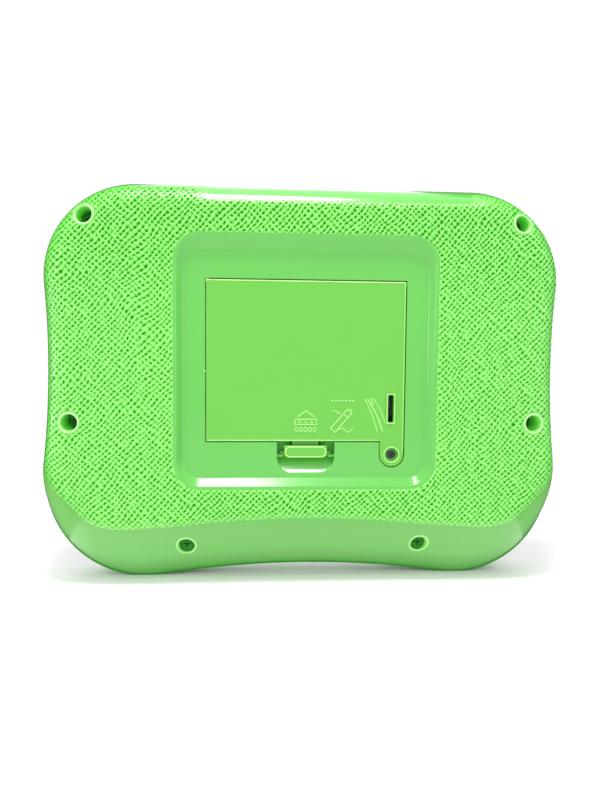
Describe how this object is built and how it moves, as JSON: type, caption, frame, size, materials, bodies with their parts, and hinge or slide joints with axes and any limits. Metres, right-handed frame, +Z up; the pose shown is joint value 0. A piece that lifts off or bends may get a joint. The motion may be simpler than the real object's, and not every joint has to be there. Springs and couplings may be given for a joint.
{
  "type": "toy tablet",
  "caption": "Child's toy learning tablet in bright green grained plastic with a screwed battery door in a sunk panel, press keys round a screen, and slide switches.",
  "frame": {"origin": "centre of the bounding box's bottom, on the surface that the two lower lobes stand on", "axes": "+Z up the tablet, +X across its width, -Y out of the battery side, +Y out of the screen side"},
  "size_m": [0.239, 0.035, 0.1802],
  "materials": {
    "green_shell": "moulded bright green ABS, grained on the battery side",
    "green_door": "smooth moulded bright green ABS",
    "white_plate": "glossy white ABS",
    "screen_lens": "tinted clear acrylic",
    "display": "display glass",
    "foam": "soft foam",
    "circuit_board": "green solder mask",
    "chip_black": "moulded epoxy",
    "capacitor_can": "satin can",
    "light_clear": "clear polycarbonate",
    "silicone": "milky silicone",
    "slider_knob": "dark grey ABS",
    "home_key": "glossy orange ABS",
    "key_red": "glossy ABS",
    "key_yellow": "glossy ABS",
    "key_blue": "glossy ABS",
    "key_orange": "glossy ABS",
    "key_purple": "glossy ABS",
    "key_cyan": "glossy ABS",
    "key_pink": "glossy ABS",
    "key_green": "glossy ABS",
    "speaker_frame": "pressed steel",
    "speaker_magnet": "ferrite",
    "speaker_cone": "treated paper",
    "lead_red": "insulated wire",
    "lead_black": "insulated wire",
    "cell": "wrapped dry cell",
    "contact_metal": "nickel plated",
    "screw_metal": "zinc plated"
  },
  "bodies": {
    "casing": {"rear_shell": "green_shell", "front_shell": "green_shell", "face_plate": "white_plate", "screen_lens": "screen_lens", "display_module": "display", "display_pad": "foam", "display_gasket": "foam", "main_board": "circuit_board", "controller_chip": "chip_black", "memory_chip": "chip_black", "capacitor": "capacitor_can", "crystal": "capacitor_can", "status_light": "light_clear", "light_pipe": "light_clear", "keypad_membrane_left": "silicone", "keypad_membrane_right": "silicone", "home_dome": "silicone", "power_switch_body": "chip_black", "volume_switch_body": "chip_black", "speaker_frame": "speaker_frame", "speaker_magnet": "speaker_magnet", "speaker_cone": "speaker_cone", "battery_lead_positive": "lead_red", "battery_lead_negative": "lead_black", "speaker_lead_a": "lead_red", "speaker_lead_b": "lead_black", "battery_cell_1": "cell", "battery_cell_2": "cell", "battery_cell_3": "cell", "battery_cell_4": "cell", "contact_springs": "contact_metal", "contact_plates": "contact_metal", "case_screws": "screw_metal", "board_screws": "screw_metal"},
    "door": {"battery_door": "green_door"},
    "latch": {"door_latch": "green_door"},
    "tab_screw": {"door_screw": "screw_metal", "screw_retainer": "screw_metal"},
    "power_knob": {"power_slider": "slider_knob"},
    "volume_knob": {"volume_slider": "slider_knob"},
    "home_button": {"home_key": "home_key"},
    "button_left_1": {"key_left_1": "key_red"},
    "button_left_2": {"key_left_2": "key_yellow"},
    "button_left_3": {"key_left_3": "key_blue"},
    "button_left_4": {"key_left_4": "key_orange"},
    "button_right_1": {"key_right_1": "key_purple"},
    "button_right_2": {"key_right_2": "key_cyan"},
    "button_right_3": {"key_right_3": "key_pink"},
    "button_right_4": {"key_right_4": "key_green"}
  },
  "joints": [
    {"name": "door_hinge", "type": "hinge", "parent": "casing", "child": "door", "pos_m": [0, -0.0133, 0.136], "axis": [-1, 0, 0], "range_deg": [0, 85]},
    {"name": "latch_press", "type": "slide", "parent": "door", "child": "latch", "axis": [0, 0, 1], "range_m": [0, 0.0012], "stiffness_N_per_m": 800},
    {"name": "tab_screw_turn", "type": "hinge", "parent": "door", "child": "tab_screw", "pos_m": [0.03915, -0.013, 0.05915], "axis": [0, 1, 0], "continuous": true},
    {"name": "power_slide", "type": "slide", "parent": "casing", "child": "power_knob", "axis": [1, 0, 0], "range_m": [0, 0.004]},
    {"name": "volume_slide", "type": "slide", "parent": "casing", "child": "volume_knob", "axis": [1, 0, 0], "range_m": [0, 0.004]},
    {"name": "home_press", "type": "slide", "parent": "casing", "child": "home_button", "axis": [0, -1, 0], "range_m": [0, 0.0012], "stiffness_N_per_m": 600},
    {"name": "press_left_1", "type": "slide", "parent": "casing", "child": "button_left_1", "axis": [0, -1, 0], "range_m": [0, 0.0012], "stiffness_N_per_m": 600},
    {"name": "press_left_2", "type": "slide", "parent": "casing", "child": "button_left_2", "axis": [0, -1, 0], "range_m": [0, 0.0012], "stiffness_N_per_m": 600},
    {"name": "press_left_3", "type": "slide", "parent": "casing", "child": "button_left_3", "axis": [0, -1, 0], "range_m": [0, 0.0012], "stiffness_N_per_m": 600},
    {"name": "press_left_4", "type": "slide", "parent": "casing", "child": "button_left_4", "axis": [0, -1, 0], "range_m": [0, 0.0012], "stiffness_N_per_m": 600},
    {"name": "press_right_1", "type": "slide", "parent": "casing", "child": "button_right_1", "axis": [0, -1, 0], "range_m": [0, 0.0012], "stiffness_N_per_m": 600},
    {"name": "press_right_2", "type": "slide", "parent": "casing", "child": "button_right_2", "axis": [0, -1, 0], "range_m": [0, 0.0012], "stiffness_N_per_m": 600},
    {"name": "press_right_3", "type": "slide", "parent": "casing", "child": "button_right_3", "axis": [0, -1, 0], "range_m": [0, 0.0012], "stiffness_N_per_m": 600},
    {"name": "press_right_4", "type": "slide", "parent": "casing", "child": "button_right_4", "axis": [0, -1, 0], "range_m": [0, 0.0012], "stiffness_N_per_m": 600}
  ]
}
